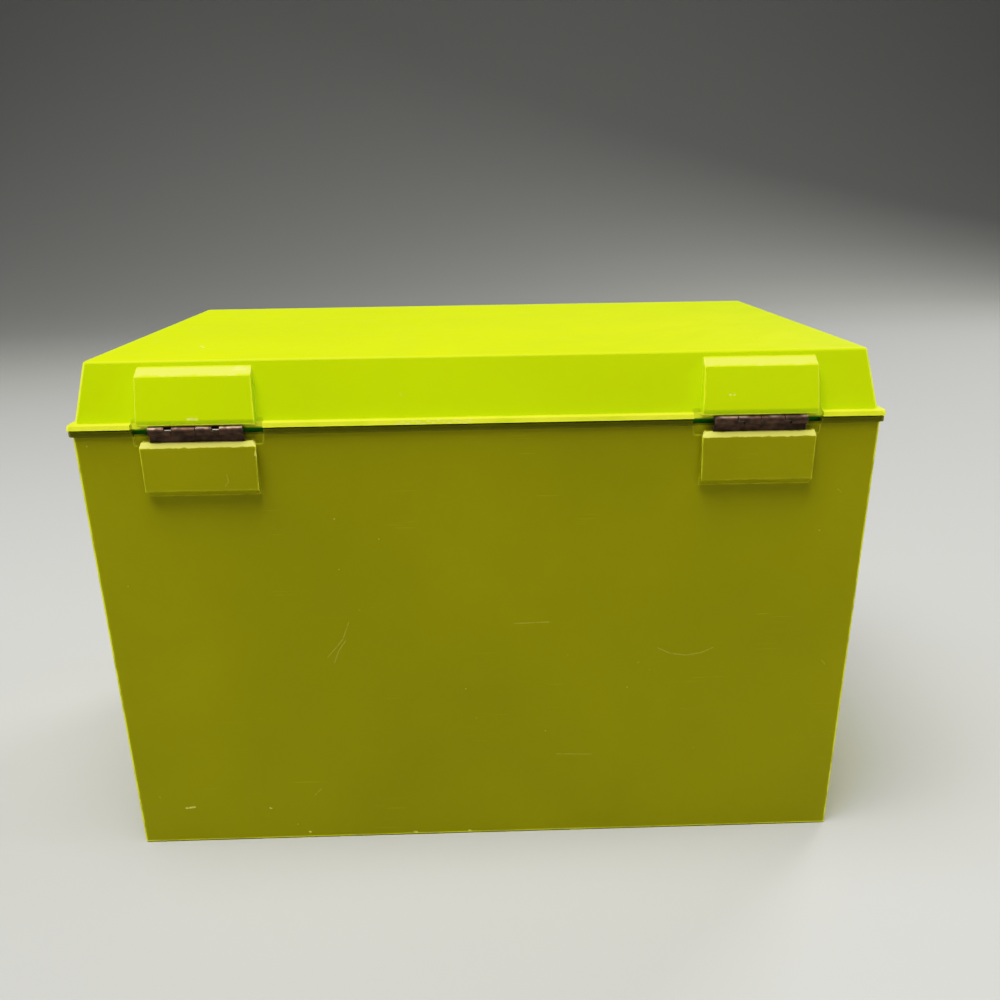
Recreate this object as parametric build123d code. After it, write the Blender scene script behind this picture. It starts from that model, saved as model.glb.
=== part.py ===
from build123d import *
from math import cos, radians, sin, tan
import os

os.makedirs("parts", exist_ok=True)

# Tub: a tapered open box for 4 x 6 inch cards, moulded in one piece
# X is the width, Y the depth with the hinges at +Y, Z is up from the table
mouth_width = 167.2
mouth_depth = 112.4
tub_height = 98.5
tub_draft = 2.2
wall = 2.2
corner_radius = 0.8
inner_corner_radius = 1.0
bottom_edge_radius = 0.4
inner_floor_radius = 1.1

# Foot: a low ring round the underside, with the gate's stub in the middle of the recess
foot_height = 0.8
foot_width = 5.0
gate_pad_diameter = 9.0
gate_stub_diameter = 2.4
gate_height = 0.4

# Band: the raised rib under the tub's mouth, with a gap at the front for a thumb
band_height = 1.05
band_proud = 0.55
band_edge = 0.12
thumb_gap_width = 34.0
thumb_gap_height = 3.2
thumb_gap_cut = 0.6

# Dust lip: the thin wall that stands up from the tub's mouth inside the lid
lip_height = 1.3
lip_thickness = 0.8
lip_clearance = 0.15
lip_headroom = 0.3

# Lid: a shallow tray turned over, with sloped walls and a flange round its foot
lid_gap = 0.1
lid_side_inset = 0.8
lid_end_inset = 0.1
lid_foot_height = 1.6
lid_wall_height = 12.3
lid_slope = 10.9
lid_wall = 1.8
lid_top_thickness = 1.9
lid_top_edge_radius = 0.6
lid_inner_edge_radius = 1.1

# Flange: the lid's projecting rim
flange_proud = 1.4
flange_thickness = 1.2
flange_corner_radius = 0.8
flange_edge = 0.12

# Hinges: two small steel butt hinges, four knuckles each, set in from the ends of the case
hinge_inset = 25.8
hinge_length = 19.25
hinge_standoff = 0.3
sheet = 0.45
pin_diameter = 1.0
pin_clearance = 0.03
knuckle_count = 4
knuckle_gap = 0.14
knuckle_clearance = 0.15
roll_end_angle = 112.0
short_tip_cut = 1.4
leaf_reach = 9.0
leaf_corner_radius = 1.2
leaf_hole_diameter = 2.6
leaf_hole_spacing = 10.4
leaf_hole_reach = 5.6
leaf_clearance = 0.08
peg_clearance = 0.12

# Pads: the raised blocks on tub and lid that hold the hinge leaves
pad_proud = 2.2
pad_edge_radius = 0.25
pad_mouth_lead = 0.3
tub_pad_width = 23.8
tub_pad_foot_width = 23.1
tub_pad_drop = 2.3
tub_pad_height = 11.7
tub_pad_top_fall = 1.05
tub_pad_bottom_bevel = 1.35
tub_pad_corner = 1.1
lid_pad_width = 23.4
lid_pad_lift = 1.05
lid_pad_height = 11.65
lid_pad_top_bevel = 1.75
lid_pad_bottom_bevel = 1.15
lid_pad_corner = 0.7
lid_pad_top_corner = 0.25

# Notches: the band, the flange and a little of both walls are cut away round each hinge
notch_width = 26.9
notch_foot_width = 26.1
notch_depth = 0.45
notch_below = 3.25
notch_above = 2.25
notch_land_drop = 0.65

# Lines that several pieces share
mouth_half = mouth_depth / 2
hinge_spacing = mouth_width - 2 * hinge_inset
floor_shrink = 2 * tub_height * tan(radians(tub_draft))
floor_width = mouth_width - floor_shrink
floor_depth = mouth_depth - floor_shrink
floor_z = foot_height + wall
lip_inset = wall - lip_thickness
lid_z = tub_height + lid_gap
lid_foot_width = mouth_width - 2 * lid_side_inset
lid_foot_depth = mouth_depth - 2 * lid_end_inset
lid_half = lid_foot_depth / 2
flange_top_z = lid_z + lid_foot_height
lid_top_z = flange_top_z + lid_wall_height
pin_radius = pin_diameter / 2
bore_radius = pin_radius + pin_clearance
barrel_radius = bore_radius + sheet
axis_y = lid_half + flange_proud + hinge_standoff
axis_z = tub_height + lid_gap / 2
notch_back = mouth_half - notch_depth
beyond = 10.0


def slab(width, depth, low, high, radius):
    """An upright rounded block from height low to height high."""
    return extrude(Pos(0, 0, low) * RectangleRounded(width, depth, radius), amount=high - low)


def rims(block):
    """The edges round a block's flat top and its flat underside."""
    return block.faces().filter_by(Axis.Z).edges()


def lower_rim(block):
    return block.faces().sort_by(Axis.Z)[0].edges()


def upper_rim(block):
    return block.faces().sort_by(Axis.Z)[-1].edges()


def across(points, width):
    """A side profile, given as (y, z) points, drawn out along X to a width about the middle."""
    profile = make_face(Polyline([(0, y, z) for y, z in points], close=True))
    return extrude(profile, amount=width / 2, dir=(1, 0, 0), both=True)


def through(points, near_y, far_y):
    """A rear outline, given as (x, z) points, drawn out along Y."""
    outline = make_face(Polyline([(x, near_y, z) for x, z in points], close=True))
    return extrude(outline, amount=far_y - near_y, dir=(0, 1, 0))


def taper(width, depth, wide_z, narrow_z, lean, radius):
    """A block with round corners that narrows from one height to another, its walls leaning by an angle."""
    narrowing = abs(wide_z - narrow_z) * tan(radians(lean))

    def outline(size):
        wide = size / 2
        narrow = wide - narrowing
        return [(-wide, wide_z), (wide, wide_z), (narrow, narrow_z), (-narrow, narrow_z)]

    block = through(outline(width), -depth / 2, depth / 2) & across(outline(depth), width)
    return fillet(block.edges() - rims(block), radius)


def both_hinges(make):
    """A shape at each hinge, right and left."""
    return [Pos(side * hinge_spacing / 2, 0, 0) * make for side in (1, -1)]


# Hinge, in its own frame: pin along X through the origin, outside of the case at +Y
def knuckle_x(index):
    pitch = hinge_length / knuckle_count
    return hinge_length / 2 - pitch * (index + 0.5)


def hinge_leaf(short_tips):
    """One stamped leaf standing up from the pin, its tabs rolled under, out and back over it."""
    width = hinge_length / knuckle_count - knuckle_gap
    plate_foot = barrel_radius + knuckle_clearance
    plate_height = leaf_reach - plate_foot
    back = -barrel_radius
    front = back + sheet

    plate = Pos(0, 0, plate_foot + plate_height / 2) * Rot(90, 0, 0) * Rectangle(hinge_length, plate_height)
    plate = extrude(plate, amount=sheet, dir=(0, 1, 0))
    far_corners = plate.edges().filter_by(Axis.Y).group_by(Axis.Z)[-1]
    plate = Pos(0, back, 0) * fillet(far_corners, leaf_corner_radius)
    for side in (1, -1):
        hole = Rot(90, 0, 0) * Cylinder(leaf_hole_diameter / 2, beyond)
        plate -= Pos(side * leaf_hole_spacing / 2, 0, leaf_hole_reach) * hole

    ring = Plane.YZ * (Circle(barrel_radius) - Circle(bore_radius))
    end = radians(roll_end_angle)
    wedge = [(0, 0), (beyond * cos(end), beyond * sin(end)), (-beyond, beyond), (-beyond, 0)]
    roll = extrude(ring, amount=width / 2, both=True) - across(wedge, hinge_length)
    neck = across([(back, 0), (front, 0), (front, plate_foot), (back, plate_foot)], width)
    tab = roll + neck
    if short_tips:
        step = across([(front, 0), (beyond, 0), (beyond, beyond), (front, beyond)], short_tip_cut)
        tab -= Pos(short_tip_cut / 2 - width / 2, 0, 0) * step

    leaf = plate
    for index in range(0, knuckle_count, 2):
        leaf += Pos(knuckle_x(index), 0, 0) * tab
    return leaf


def leaf_pocket():
    """The slot that a leaf sits in, less the two pegs that stand through the leaf's holes."""
    near = -barrel_radius - leaf_clearance
    far = -barrel_radius + sheet + leaf_clearance
    foot = barrel_radius
    head = leaf_reach + leaf_clearance
    slot = across([(near, foot), (far, foot), (far, head), (near, head)], hinge_length + 2 * leaf_clearance)
    for side in (1, -1):
        peg = Rot(90, 0, 0) * Cylinder(leaf_hole_diameter / 2 - peg_clearance, beyond)
        slot -= Pos(side * leaf_hole_spacing / 2, 0, leaf_hole_reach) * peg
    return slot


def upward(shape, lean):
    """Placed on the lid's side of the pin, leaning inwards by an angle."""
    return Pos(0, axis_y, axis_z) * Rot(lean, 0, 0) * shape


def downward(shape, lean):
    """Placed on the tub's side of the pin: turned half round, leaning inwards by an angle."""
    return Pos(0, axis_y, axis_z) * Rot(-lean, 0, 0) * Rot(0, 180, 0) * shape


# Tub
def tub_wall_y(z):
    return mouth_half - (tub_height - z) * tan(radians(tub_draft))


def tub_pad():
    """The pad on the tub: a block parallel to the wall with its top corners rounded off."""
    top = tub_height - tub_pad_drop
    face_top = top - tub_pad_top_fall
    bottom = top - tub_pad_height
    face_bottom = bottom + tub_pad_bottom_bevel
    root = mouth_half - wall + lip_thickness
    mouth_y = axis_y - barrel_radius + sheet + leaf_clearance + pad_mouth_lead
    side = [
        (root, bottom),
        (tub_wall_y(bottom), bottom),
        (tub_wall_y(face_bottom) + pad_proud, face_bottom),
        (tub_wall_y(face_top) + pad_proud, face_top),
        (mouth_y, top),
        (root, top),
    ]
    low = tub_pad_foot_width / 2
    high = tub_pad_width / 2
    outline = [(-low, bottom), (low, bottom), (high, top), (-high, top)]
    block = through(outline, root, mouth_half + pad_proud)
    top_corners = block.edges().filter_by(Axis.Y).group_by(Axis.Z)[-1]
    block = fillet(top_corners, tub_pad_corner)
    pad = across(side, tub_pad_width) & block
    return fillet(pad.faces().sort_by(Axis.Y)[-1].edges(), pad_edge_radius)


def tub():
    outside = taper(mouth_width, mouth_depth, tub_height, 0, tub_draft, corner_radius)
    outside = fillet(lower_rim(outside), bottom_edge_radius)

    band_width = mouth_width + 2 * band_proud
    band_depth = mouth_depth + 2 * band_proud
    band = slab(band_width, band_depth, tub_height - band_height, tub_height, corner_radius + band_proud)
    band = chamfer(rims(band), band_edge)

    lip_width = mouth_width - 2 * lip_inset
    lip_depth = mouth_depth - 2 * lip_inset
    lip_top = tub_height + lip_height
    lip = slab(lip_width, lip_depth, tub_height - wall, lip_top, corner_radius)

    inset = wall - lip_height * tan(radians(tub_draft))
    inner_width = mouth_width - 2 * inset
    inner_depth = mouth_depth - 2 * inset
    hollow = taper(inner_width, inner_depth, lip_top, floor_z, tub_draft, inner_corner_radius)
    hollow = fillet(lower_rim(hollow), inner_floor_radius)

    body = outside + band
    low = notch_foot_width / 2
    high = notch_width / 2
    notch_foot = tub_height - notch_below
    top = tub_height + wall
    notch = through([(-low, notch_foot), (low, notch_foot), (high, tub_height), (high, top),
                     (-high, top), (-high, tub_height)], notch_back, mouth_half + beyond)
    land_cut = Box(notch_width, lip_inset + beyond, beyond, align=(Align.CENTER, Align.MIN, Align.MIN))
    land_cut = Pos(0, mouth_half - lip_inset, tub_height - notch_land_drop) * land_cut
    for cut in both_hinges(notch + land_cut):
        body -= cut

    thumb_foot = tub_height - thumb_gap_height
    thumb_half = thumb_gap_width / 2
    gap = through([(-thumb_half, thumb_foot), (thumb_half, thumb_foot),
                   (thumb_half, top), (-thumb_half, top)],
                  -mouth_half - beyond, thumb_gap_cut - mouth_half)
    gap = fillet(gap.edges().filter_by(Axis.Y).group_by(Axis.Z)[0], thumb_gap_height - band_height)
    body -= gap

    for pad in both_hinges(tub_pad()):
        body += pad
    body = body + lip - hollow

    recess_width = floor_width - 2 * foot_width
    recess_depth = floor_depth - 2 * foot_width
    recess = slab(recess_width, recess_depth, -wall, foot_height, corner_radius)
    hung = (Align.CENTER, Align.CENTER, Align.MAX)
    gate = Cylinder(gate_pad_diameter / 2, gate_height, align=hung)
    stub = Cylinder(gate_stub_diameter / 2, foot_height - gate_height / 2, align=hung)
    body -= recess - Pos(0, 0, foot_height) * (gate + stub)

    for pocket in both_hinges(downward(leaf_pocket(), tub_draft)):
        body -= pocket
    return body


# Lid
def lid_wall_y(z):
    return lid_half - (z - flange_top_z) * tan(radians(lid_slope))


def lid_pad():
    """The pad on the lid: parallel to the sloped wall, with a wide bevel along its top."""
    bottom = lid_z + lid_pad_lift
    face_bottom = bottom + lid_pad_bottom_bevel
    top = bottom + lid_pad_height
    face_top = top - lid_pad_top_bevel
    root = lid_wall_y(top) - lid_wall / 2
    face_foot_y = lid_wall_y(face_bottom) + pad_proud
    side = [
        (root, bottom),
        (face_foot_y - lid_pad_bottom_bevel, bottom),
        (face_foot_y, face_bottom),
        (lid_wall_y(face_top) + pad_proud, face_top),
        (lid_wall_y(top), top),
        (root, top),
    ]
    half = lid_pad_width / 2
    foot = half - lid_pad_corner
    crown = half - lid_pad_top_corner
    outline = [(-foot, bottom), (foot, bottom), (half, face_bottom), (half, face_top), (crown, top),
               (-crown, top), (-half, face_top), (-half, face_bottom)]
    pad = across(side, lid_pad_width) & through(outline, root, mouth_half + pad_proud + beyond)
    outward = pad.faces().filter_by(lambda face: face.normal_at().Y > 0)
    return fillet(outward.sort_by(SortBy.AREA)[-1].edges(), pad_edge_radius)


def lid():
    foot = slab(lid_foot_width, lid_foot_depth, lid_z, flange_top_z, corner_radius)
    dome = taper(lid_foot_width, lid_foot_depth, flange_top_z, lid_top_z, lid_slope, corner_radius)
    dome = fillet(upper_rim(dome), lid_top_edge_radius)

    flange_width = lid_foot_width + 2 * flange_proud
    flange_depth = lid_foot_depth + 2 * flange_proud
    flange_foot = flange_top_z - flange_thickness
    flange = slab(flange_width, flange_depth, flange_foot, flange_top_z, flange_corner_radius)
    flange = chamfer(rims(flange), flange_edge)

    body = foot + dome + flange
    half = notch_width / 2
    notch_top = lid_z + notch_above
    notch = through([(-half, lid_z - wall), (half, lid_z - wall), (half, notch_top), (-half, notch_top)],
                    notch_back, mouth_half + beyond)
    for cut in both_hinges(notch):
        body -= cut
    for pad in both_hinges(lid_pad()):
        body += pad

    rebate_inset = lip_inset - lip_clearance
    rebate_top = tub_height + lip_height + lip_headroom
    rebate = slab(mouth_width - 2 * rebate_inset, mouth_depth - 2 * rebate_inset, lid_z - wall, rebate_top,
                  corner_radius)
    ceiling = lid_top_z - lid_top_thickness
    low_inset = lid_wall + (rebate_top - flange_top_z) * tan(radians(lid_slope))
    hollow_width = lid_foot_width - 2 * low_inset
    hollow_depth = lid_foot_depth - 2 * low_inset
    hollow = taper(hollow_width, hollow_depth, rebate_top, ceiling, lid_slope, inner_corner_radius)
    hollow = fillet(upper_rim(hollow), lid_inner_edge_radius)
    body -= rebate + hollow

    for pocket in both_hinges(upward(leaf_pocket(), lid_slope)):
        body -= pocket
    return body


# Hinges in place: the left one is the same hinge fitted the other way up
def hinge_pieces():
    whole = hinge_leaf(short_tips=False)
    stepped = hinge_leaf(short_tips=True)
    right = Pos(hinge_spacing / 2, 0, 0)
    left = Pos(-hinge_spacing / 2, 0, 0)
    pin = Pos(0, axis_y, axis_z) * Rot(0, 90, 0) * Cylinder(pin_radius, hinge_length)
    return {
        "right_hinge_lid_leaf": right * upward(stepped, lid_slope),
        "right_hinge_tub_leaf": right * downward(whole, tub_draft),
        "right_hinge_pin": right * pin,
        "left_hinge_lid_leaf": left * upward(whole, lid_slope),
        "left_hinge_tub_leaf": left * downward(stepped, tub_draft),
        "left_hinge_pin": left * pin,
    }


pieces = {"tub": tub(), "lid": lid(), **hinge_pieces()}

# The origin is under the middle of the closed box, barrels included
rear_reach = hinge_standoff + barrel_radius
centring = Pos(0, -rear_reach / 2, 0)
for name, piece in pieces.items():
    placed = centring * piece
    box = placed.bounding_box()
    print(name, len(placed.solids()), "solid", [round(v, 2) for v in (*box.min, *box.max)])
    export_step(placed, f"parts/{name}.step")
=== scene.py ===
import math

import bmesh
import bpy
from mathutils import Matrix, Vector


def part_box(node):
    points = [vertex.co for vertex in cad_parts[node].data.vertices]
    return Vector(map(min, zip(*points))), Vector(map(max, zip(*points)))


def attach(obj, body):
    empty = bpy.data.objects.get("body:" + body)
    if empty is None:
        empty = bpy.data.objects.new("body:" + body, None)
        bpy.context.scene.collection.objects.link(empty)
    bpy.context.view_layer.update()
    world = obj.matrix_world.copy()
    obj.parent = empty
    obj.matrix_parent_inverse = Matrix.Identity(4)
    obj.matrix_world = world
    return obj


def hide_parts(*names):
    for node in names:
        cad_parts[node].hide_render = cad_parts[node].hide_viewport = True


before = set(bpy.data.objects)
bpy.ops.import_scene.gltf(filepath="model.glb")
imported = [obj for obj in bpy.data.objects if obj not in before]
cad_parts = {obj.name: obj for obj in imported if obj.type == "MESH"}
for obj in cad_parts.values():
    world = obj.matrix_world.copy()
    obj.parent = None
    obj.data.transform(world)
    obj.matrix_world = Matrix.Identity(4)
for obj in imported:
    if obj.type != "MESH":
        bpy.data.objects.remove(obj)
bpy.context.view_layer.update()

mm = 0.001


# Tub: the tapered lower box for the cards, injection moulded in one piece from lime polystyrene. A band runs
# round under its mouth, a thin lip stands up inside the lid against dust, and its foot is a low ring.
mouth_width = 167.2 * mm
mouth_depth = 112.4 * mm
mouth_z = 98.5 * mm
tub_draft = math.radians(2.2)
tub_lean = math.tan(tub_draft)
tub_wall = 2.2 * mm
tub_corner = 0.8 * mm
foot_height = 0.8 * mm
foot_width = 5.0 * mm
band_height = 1.05 * mm
band_proud = 0.55 * mm
lip_height = 1.3 * mm
lip_thickness = 0.8 * mm
lip_inset = tub_wall - lip_thickness
case_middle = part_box("tub")[0][1] + mouth_depth / 2 + band_proud


def ringed(radius, rings):
    """A closed mesh through rounded rings, each (width, depth, height, edge rounding)."""
    mesh = bmesh.new()
    before = (1, 1, 0)
    loops = []
    for width, depth, height, rounding in rings:
        if not loops:
            place = Matrix.Translation((0, case_middle, height)) @ Matrix.Diagonal((width, depth, 1, 1))
            corners = bmesh.ops.create_grid(mesh, x_segments=1, y_segments=1, size=0.5, matrix=place)["verts"]
            bmesh.ops.bevel(mesh, geom=corners, offset=radius, offset_type="OFFSET", segments=6, profile=0.5,
                            material=-1, affect="VERTICES")
            cap = mesh.faces[:][0]
        else:
            drawn = bmesh.ops.extrude_face_region(mesh, geom=[cap, *cap.edges])["geom"]
            cap = [part for part in drawn if isinstance(part, bmesh.types.BMFace)][0]
            bmesh.ops.scale(mesh, verts=cap.verts, vec=(width / before[0], depth / before[1], 1),
                            space=Matrix.Translation((0, -case_middle, 0)))
            bmesh.ops.translate(mesh, verts=cap.verts, vec=(0, 0, height - before[2]))
        loops.append(list(cap.edges))
        before = (width, depth, height)
    for loop, ring in zip(loops, rings):
        if ring[3] > 0:
            bmesh.ops.bevel(mesh, geom=loop, offset=ring[3], offset_type="OFFSET", segments=4, profile=0.5,
                            material=-1, affect="EDGES")
    return mesh


def made(name, mesh):
    """Turns a finished mesh into an object of the scene."""
    bmesh.ops.recalc_face_normals(mesh, faces=mesh.faces)
    data = bpy.data.meshes.new(name)
    mesh.to_mesh(data)
    mesh.free()
    piece = bpy.data.objects.new(name, data)
    bpy.context.scene.collection.objects.link(piece)
    return piece


def drawn_out(points, shift, rounding):
    """A flat outline with its corners rounded, drawn out along a straight line to a closed block."""
    mesh = bmesh.new()
    corners = [mesh.verts.new(point) for point in points]
    mesh.faces.new(corners)
    bmesh.ops.bevel(mesh, geom=corners, offset=rounding, offset_type="OFFSET", segments=5, profile=0.5,
                    material=-1, affect="VERTICES")
    drawn = bmesh.ops.extrude_face_region(mesh, geom=mesh.faces[:])["geom"]
    moved = [part for part in drawn if isinstance(part, bmesh.types.BMVert)]
    bmesh.ops.translate(mesh, verts=moved, vec=shift)
    return mesh


def carve(piece, tool, operation="DIFFERENCE"):
    """Cuts a tool out of a piece, or joins it on with UNION, and takes the tool away."""
    change = piece.modifiers.new("carve", "BOOLEAN")
    change.object = tool
    change.operation = operation
    change.solver = "EXACT"
    result = bpy.data.meshes.new_from_object(piece.evaluated_get(bpy.context.evaluated_depsgraph_get()))
    piece.modifiers.clear()
    piece.data = result
    piece.data.name = piece.name
    bpy.data.objects.remove(tool)


def tub_ring(inset, height, rounding=0.0):
    """A ring of the tub, set in from the outline of its mouth."""
    return (mouth_width - 2 * inset, mouth_depth - 2 * inset, height, rounding)


bottom_inset = mouth_z * tub_lean
lip_top = mouth_z + lip_height
floor_z = foot_height + tub_wall
inner_inset = tub_wall - lip_height * tub_lean
floor_inset = inner_inset + (lip_top - floor_z) * tub_lean
tub = made("tub_moulding", ringed(tub_corner, [
    tub_ring(bottom_inset + foot_width, foot_height),
    tub_ring(bottom_inset + foot_width, 0, 0.2 * mm),
    tub_ring(bottom_inset, 0, 0.4 * mm),
    tub_ring(band_height * tub_lean, mouth_z - band_height),
    tub_ring(-band_proud, mouth_z - band_height, 0.12 * mm),
    tub_ring(-band_proud, mouth_z, 0.15 * mm),
    tub_ring(lip_inset, mouth_z),
    tub_ring(lip_inset, lip_top, 0.2 * mm),
    tub_ring(inner_inset, lip_top, 0.2 * mm),
    tub_ring(floor_inset, floor_z, 0.7 * mm),
]))

# The gate: a round pad and the broken stub of the sprue, in the middle of the recess under the tub, both
# rooted in the floor above
gate_pad_radius = 4.5 * mm
gate_stub_radius = 1.2 * mm
gate_pad_drop = 0.4 * mm
gate_stub_drop = foot_height - gate_pad_drop / 2
gate_root = 1 * mm
for radius, drop in ((gate_pad_radius, gate_pad_drop), (gate_stub_radius, gate_stub_drop)):
    gate = bmesh.new()
    place = Matrix.Translation((0, case_middle, foot_height + gate_root / 2 - drop / 2))
    bmesh.ops.create_cone(gate, cap_ends=True, segments=48, radius1=radius, radius2=radius,
                          depth=drop + gate_root, matrix=place)
    carve(tub, made("gate", gate), "UNION")

# The notches: band and flange are cut away round each hinge, a little way into both walls. The tub's are
# narrower at the foot, and the land behind them is cut lower, which leaves a dark slit under the lid. The
# left hinge's notches stand a little off its middle.
hinge_spacing = 115.6 * mm
notch_width = 26.9 * mm
notch_foot_width = 26.1 * mm
notch_shift = {1: 0.0, -1: 0.3 * mm}
notch_back = case_middle + mouth_depth / 2 - 0.45 * mm
notch_foot = mouth_z - 3.25 * mm
notch_corner = 0.35 * mm
land_foot = mouth_z - 0.9 * mm
land_back = case_middle + mouth_depth / 2 - lip_inset + 0.02 * mm
land_corner = 0.1 * mm
beyond = 10 * mm
for side in (1, -1):
    middle = side * hinge_spacing / 2 + notch_shift[side]
    outline = [(middle - notch_foot_width / 2, notch_back, notch_foot),
               (middle + notch_foot_width / 2, notch_back, notch_foot),
               (middle + notch_width / 2, notch_back, mouth_z),
               (middle + notch_width / 2, notch_back, mouth_z + beyond),
               (middle - notch_width / 2, notch_back, mouth_z + beyond),
               (middle - notch_width / 2, notch_back, mouth_z)]
    carve(tub, made("notch", drawn_out(outline, (0, beyond, 0), notch_corner)))
    outline = [(middle - notch_width / 2, land_back, land_foot),
               (middle + notch_width / 2, land_back, land_foot),
               (middle + notch_width / 2, land_back, land_foot + beyond),
               (middle - notch_width / 2, land_back, land_foot + beyond)]
    carve(tub, made("land", drawn_out(outline, (0, beyond, 0), land_corner)))

# The thumb gap: a shallow cut in the band at the front, for lifting the lid
thumb_width = 34 * mm
thumb_height = 3.2 * mm
thumb_depth = 0.6 * mm
thumb_back = case_middle - mouth_depth / 2 + thumb_depth
outline = [(-thumb_width / 2, thumb_back, mouth_z - thumb_height),
           (thumb_width / 2, thumb_back, mouth_z - thumb_height),
           (thumb_width / 2, thumb_back, mouth_z + beyond), (-thumb_width / 2, thumb_back, mouth_z + beyond)]
carve(tub, made("thumb_gap", drawn_out(outline, (0, -beyond, 0), thumb_height - band_height)))

# Tub pads: raised blocks, moulded with the tub, that hold the lower leaves. The top slopes outwards, its
# front edge has been chipped ragged by the lid's pads, and the underside is a steep bevel.
axis_y = 57.16 * mm
axis_z = 98.55 * mm
barrel_radius = 0.98 * mm
sheet = 0.45 * mm
leaf_clearance = 0.08 * mm
pad_proud = 2.2 * mm
pad_bedded = 0.3 * mm
rounding_error = 0.001 * mm
hinge_length = 19.25 * mm
leaf_reach = 9.0 * mm


def hinge_place(middle, lean, turn):
    """From a hinge's own frame, pin along X and leaf upwards, to its place in the case."""
    upright = Matrix.Rotation(math.radians(turn), 4, "Y")
    return Matrix.Translation((middle, axis_y, axis_z)) @ Matrix.Rotation(lean, 4, "X") @ upright


def pad(side, stations, softness):
    """A raised block on a wall. Its side outline is drawn out and its edges are rounded, but for those bedded
    in the wall, and then its ends are drawn in to the reach at each height. stations are the outline's
    corners from the foot up, each (y, z, outward reach, inward reach)."""
    middle = side * hinge_spacing / 2
    longest = max(row[2] for row in stations) + 1 * mm
    mesh = bmesh.new()
    mesh.faces.new([mesh.verts.new((middle - longest, row[0], row[1])) for row in stations])
    drawn = bmesh.ops.extrude_face_region(mesh, geom=mesh.faces[:])["geom"]
    moved = [part for part in drawn if isinstance(part, bmesh.types.BMVert)]
    bmesh.ops.translate(mesh, verts=moved, vec=(2 * longest, 0, 0))
    root = min(row[0] for row in stations)
    soft = [edge for edge in mesh.edges if min(vert.co.y for vert in edge.verts) > root + pad_bedded]
    bmesh.ops.bevel(mesh, geom=soft, offset=softness, offset_type="OFFSET", segments=3, profile=0.5,
                    material=-1, affect="EDGES")
    for vert in mesh.verts:
        end = 1 if vert.co.x > middle else -1
        column = 2 if end == side else 3
        for low, high in zip(stations, stations[1:]):
            within = low[1] - rounding_error <= vert.co.z <= high[1] + rounding_error
            if within and high[1] > low[1]:
                share = (vert.co.z - low[1]) / (high[1] - low[1])
                reach = low[column] + share * (high[column] - low[column])
        vert.co.x += end * (reach - longest)
    bmesh.ops.triangulate(mesh, faces=mesh.faces)
    return mesh


def pocket(lean, turn):
    """The slot that a leaf sits in, at the hinge line and leaning with the wall."""
    near = -barrel_radius - leaf_clearance
    far = -barrel_radius + sheet + leaf_clearance
    half = hinge_length / 2 + leaf_clearance
    outline = [(-half, near, barrel_radius), (half, near, barrel_radius),
               (half, near, leaf_reach + leaf_clearance), (-half, near, leaf_reach + leaf_clearance)]
    mesh = drawn_out(outline, (0, far - near, 0), 0.2 * mm)
    bmesh.ops.transform(mesh, matrix=hinge_place(0, lean, turn), verts=mesh.verts)
    return mesh


def tub_wall_y(z):
    """How far back the face of the tub's back wall is at a height."""
    return case_middle + mouth_depth / 2 - (mouth_z - z) * tub_lean


pad_top = mouth_z - 2.3 * mm
pad_face_top = pad_top - 1.05 * mm
pad_bottom = mouth_z - 14.0 * mm
pad_face_bottom = pad_bottom + 1.35 * mm
pad_root = case_middle + mouth_depth / 2 - 1.4 * mm
pad_mouth = axis_y - barrel_radius + sheet + leaf_clearance + 0.3 * mm
for side in (1, -1):
    block = pad(side, [
        (pad_root, pad_bottom - 0.4 * mm, 11.3 * mm, 11.8 * mm),
        (tub_wall_y(pad_bottom) - 0.65 * mm, pad_bottom - 0.4 * mm, 11.3 * mm, 11.8 * mm),
        (tub_wall_y(pad_face_bottom) + pad_proud, pad_face_bottom, 11.45 * mm, 11.95 * mm),
        (tub_wall_y(pad_face_top) + pad_proud, pad_face_top, 11.7 * mm, 12.0 * mm),
        (pad_mouth, pad_top, 11.4 * mm, 11.2 * mm),
        (pad_root, pad_top, 11.4 * mm, 11.2 * mm),
    ], 0.2 * mm)
    carve(tub, made("pad", block), "UNION")
    slot = pocket(-tub_draft, 180)
    bmesh.ops.translate(slot, verts=slot.verts, vec=(side * hinge_spacing / 2, 0, 0))
    carve(tub, made("pocket", slot))

# The pegs in the leaf pockets, which pin the leaves through their holes
hole_reach = 5.6 * mm
hole_offset = 5.2 * mm
hole_radius = 1.3 * mm
sheet_middle = -0.755 * mm
peg_radius = hole_radius - 0.12 * mm
peg_length = 0.9 * mm


def pegs(middle, lean, turn):
    """Both pegs of one pocket."""
    mesh = bmesh.new()
    for offset in (-hole_offset, hole_offset):
        place = hinge_place(middle, lean, turn) @ Matrix.Translation((offset, sheet_middle, hole_reach))
        bmesh.ops.create_cone(mesh, cap_ends=True, segments=32, radius1=peg_radius, radius2=peg_radius,
                              depth=peg_length, matrix=place @ Matrix.Rotation(math.pi / 2, 4, "X"))
    return made("pegs", mesh)


for side in (1, -1):
    carve(tub, pegs(side * hinge_spacing / 2, -tub_draft, 180), "UNION")


def linear(hex_colour):
    """An sRGB hex colour as linear red, green, blue and alpha."""
    parts = [int(hex_colour[i:i + 2], 16) / 255 for i in (1, 3, 5)]
    return [c / 12.92 if c <= 0.04045 else ((c + 0.055) / 1.055) ** 2.4 for c in parts] + [1.0]


def add(tree, kind, inputs, **settings):
    """Adds a node: each input, by name or number, gets a value or a link from another node's output."""
    node = tree.nodes.new("ShaderNode" + kind)
    for name, value in settings.items():
        setattr(node, name, value)
    for name, value in inputs.items():
        if isinstance(value, bpy.types.NodeSocket):
            tree.links.new(value, node.inputs[name])
        else:
            node.inputs[name].default_value = value
    return node


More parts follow.
